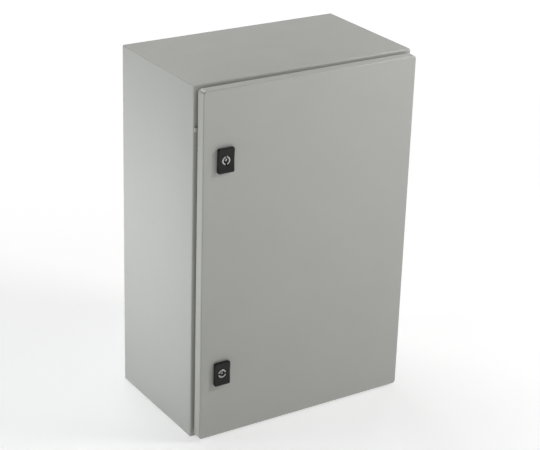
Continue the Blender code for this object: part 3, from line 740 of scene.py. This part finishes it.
def lock(side, slot_turn):
    """Quarter-turn lock: dished housing, seal and ring nut, and the insert that turns a cam behind the flange."""
    low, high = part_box(f"{side}_lock_housing")
    middle = (low + high) / 2
    x, z, face = middle.x, middle.z, low.y
    rear = DOOR_LOW.y - 0.0012
    barrel_end = high.y

    def upright(mesh):
        """A mesh drawn in X and Y and rising along Z, stood up so that it comes forwards from the door."""
        return moved(mesh, against_y(x, 0, z))

    shell = upright(plate([rounded(0.028, 0.040, 0.0022, 8)], -rear, -face))
    shell = bevel(shell, 0.0008, 4, 40)
    scoop = moved(rod(0.120, -0.03, 0.03, 360), at(x, face + 0.0012 - 0.120, z) @ turn(90, "Y"))
    shell = cut(shell, scoop)
    shell = join(shell, upright(rod(0.0094, -barrel_end + 0.001, -rear + 0.0006)))
    bore = [(0, -face + 0.01), (0.0092, -face + 0.01), (0.0092, -face - 0.0012 + 0.0009), (0.0078, -face - 0.0015)]
    bore += [(0.0078, -barrel_end - 0.01), (0, -barrel_end - 0.01)]
    shell = cut(shell, upright(lathe(bore, 96)))
    thread = threaded(0.0097, 0.0015, 0.0007, -barrel_end, -DOOR_LOW.y + 0.0003, 64, 0.0078)
    piece(f"{side}_housing", joined(shell, upright(thread)), f"{side}_lock_housing", PLASTIC)

    low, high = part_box(f"{side}_lock_seal")
    seal = plate([rounded(high.x - low.x, high.z - low.z, 0.0022), circle(0, 0, 0.01, 64)], -high.y, -low.y)
    piece(f"{side}_seal", upright(bevel(seal, 0.0001, 1)), f"{side}_lock_seal", RUBBER)

    low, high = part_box(f"{side}_lock_nut")
    nut = hexagon(0.0235, 0.0, high.y - low.y, 0.0100)
    piece(f"{side}_ring_nut", moved(nut, along_y(x, low.y, z)), f"{side}_lock_nut", CAST_ZINC)

    low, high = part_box(f"{side}_lock_rotor")
    front, tip = low.y, high.y
    floor = front + 0.008
    barrel = [(0, -front), (0.0069, -front), (0.0075, -front - 0.0006), (0.0075, -barrel_end), (0, -barrel_end)]
    slotted = lathe(barrel, 96)
    pocket = [(0, -front + 0.01), (0.0049, -front + 0.01), (0.0049, -front)]
    pocket += [(0.0046, -front - 0.0003), (0.0046, -floor), (0, -floor)]
    slotted = cut(slotted, lathe(pocket, 64))
    slotted = cut(slotted, block((-0.0015, -0.02, -floor), (0.0015, 0.02, -front + 0.01)))
    shank = bevel(block((-0.0035, -0.0035, -tip), (0.0035, 0.0035, -barrel_end + 0.001)), 0.0004, 2)
    shank = cut(shank, rod(0.0025, -tip - 0.01, -barrel_end + 0.0005, 40))
    slotted = bevel(slotted, 0.0003, 2)
    pin_top = -front - 0.0006
    pin = [(0, pin_top), (0.0010, pin_top - 0.0001), (0.0016, pin_top - 0.0006)]
    pin = lathe(pin + [(0.0016, -floor - 0.001), (0, -floor - 0.001)], 40)
    rotor = upright(moved(joined(slotted, shank, pin), turn(-slot_turn, "Z")))
    piece(f"{side}_insert", rotor, f"{side}_lock_rotor", CAST_ZINC)

    low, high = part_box(f"{side}_lock_cam")
    arc = [math.radians(degrees) for degrees in range(-30, 211, 5)]
    outline = [Vector((0.009 * math.cos(t), 0.009 * math.sin(t))) for t in arc]
    reach = z - low.z
    outline += [Vector((-0.007, -0.012)), Vector((-0.007, 0.003 - reach))]
    for corner, turns in ((-0.004, (-1.2, -0.8, -0.4, 0)), (0.004, (0, 0.4, 0.8, 1.2))):
        outline += [Vector((corner + 0.003 * math.sin(t), 0.003 - reach - 0.003 * math.cos(t))) for t in turns]
    outline += [Vector((0.007, 0.003 - reach)), Vector((0.007, -0.012))]
    half = 0.0038
    square = [Vector(c) for c in ((half, half), (-half, half), (-half, -half), (half, -half))]
    cam = bevel(plate([outline, square], -high.y, -low.y), 0.0004, 2)
    piece(f"{side}_tongue", upright(cam), f"{side}_lock_cam", PLATED)

    low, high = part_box(f"{side}_cam_screw")
    screw = flanged_screw(0.0022, high.y - low.y - 0.0048)
    place = along_y(x, high.y - 0.0048, z) @ turn(25 if slot_turn else 70, "Z")
    piece(f"{side}_tongue_screw", moved(screw, place), f"{side}_cam_screw", PLATED)


cabinet_shell()
door_tray()
door_seal()
rail("lock")
rail("hinge")
plate_fixings()
gland_fittings()
earthing("body_earth", against_y(0, span("body_earth_stud", "y")[1], middle_of("body_earth_nut").z), 0.020)
earthing("door_earth", along_y(0, span("door_earth_stud", "y")[0], middle_of("door_earth_nut").z), 0.013)
stop_pad()
for side in SIDES:
    hinge(side)
lock("lower", 90)
lock("upper", 0)


# Stage, light and camera.


def studio():
    """A pale floor with painted light: it glows, dimmer near the cabinet as painted shade and towards white away from
    it, standing in for a lit sweep.
    """
    bm = bmesh.new()
    bmesh.ops.create_circle(bm, cap_ends=True, radius=30.0, segments=96)
    bmesh.ops.translate(bm, verts=bm.verts, vec=(0, 0, -0.0005))
    floor = bpy.data.objects.new("floor", mesh_of(bm))
    bpy.context.scene.collection.objects.link(floor)
    f = Finish("pale_floor", (0.6, 0.6, 0.6), 0.9)
    f.shader.inputs["Specular IOR Level"].default_value = 0.1
    f.shader.inputs["Emission Color"].default_value = (1, 1, 1, 1)
    distance = f.tree.nodes.new("ShaderNodeVectorMath")
    distance.operation = "LENGTH"
    f.link(f.place, distance.inputs[0])
    # Painted light and shade: the floor's emission is dimmed near the cabinet as a painted shadow and rises to white
    # away from it; this glowing floor also lights the cabinet.
    painted_floor_glow = f.between(distance.outputs["Value"], 0.45, 2.4, 0.53, 1.0)
    floor.data.materials.append(f.set(Emission_Strength=painted_floor_glow))
    bpy.context.scene.world = backdrop()


def backdrop():
    """Surroundings that are as pale as the floor up to a little above the horizon, and dim overhead."""
    world = bpy.data.worlds.new("studio")
    world.use_nodes = True
    tree = world.node_tree
    direction = tree.nodes.new("ShaderNodeTexCoord").outputs["Generated"]
    parts = tree.nodes.new("ShaderNodeSeparateXYZ")
    tree.links.new(direction, parts.inputs[0])
    level = tree.nodes.new("ShaderNodeMapRange")
    for name, value in (("From Min", 0.05), ("From Max", 0.15), ("To Min", 0.97), ("To Max", 0.03)):
        level.inputs[name].default_value = value
    tree.links.new(parts.outputs["Z"], level.inputs["Value"])
    tree.nodes["Background"].inputs["Color"].default_value = (1, 1, 1, 1)
    tree.links.new(level.outputs["Result"], tree.nodes["Background"].inputs["Strength"])
    return world


def softbox(name, place, aim, size, power, spread=180, colour=(1, 1, 1)):
    data = bpy.data.lights.new(name, "AREA")
    data.shape = "RECTANGLE"
    data.size, data.size_y = size
    data.energy = power
    data.spread = math.radians(spread)
    data.color = colour
    light = bpy.data.objects.new(name, data)
    light.location = place
    light.rotation_euler = (Vector(aim) - Vector(place)).to_track_quat("-Z", "Y").to_euler()
    bpy.context.scene.collection.objects.link(light)


def camera():
    """The photograph's camera: its place, direction and slight roll, fitted to the cabinet's edges."""
    data = bpy.data.cameras.new("camera")
    data.lens = 110.4
    data.sensor_width = 36
    data.clip_end = 100
    obj = bpy.data.objects.new("camera", data)
    azimuth, elevation = math.radians(-32.931), math.radians(23.346)
    back = Vector(
        (
            math.sin(azimuth) * math.cos(elevation),
            -math.cos(azimuth) * math.cos(elevation),
            math.sin(elevation),
        )
    )
    direction = back.to_track_quat("Z", "Y").to_matrix().to_4x4()
    obj.matrix_world = at(-1.36526, -2.11828, 1.38377) @ direction @ turn(1.760, "Z")
    bpy.context.scene.collection.objects.link(obj)
    bpy.context.scene.camera = obj


studio()
softbox("key", (1.02, -0.86, 1.24), (0.15, -0.12, 0.5), (0.40, 0.40), 11.6)
softbox("left", (-1.3, 0.45, 0.40), (-0.2, 0.08, 0.28), (0.35, 0.35), 0.76, 48, (0.93, 0.98, 1.0))
softbox("top_back", (0.0, 1.0, 1.7), (0.0, 0.0, 0.4), (1.0, 0.8), 12.0)
softbox("top", (-0.1, 0.0, 1.8), (0.0, 0.0, 0.4), (1.0, 0.8), 4.3)
softbox("edge", (0.9, 0.55, 1.35), (0.1, -0.1, 0.6), (0.25, 0.25), 1.6)
camera()
bpy.context.scene.view_settings.view_transform = "Standard"
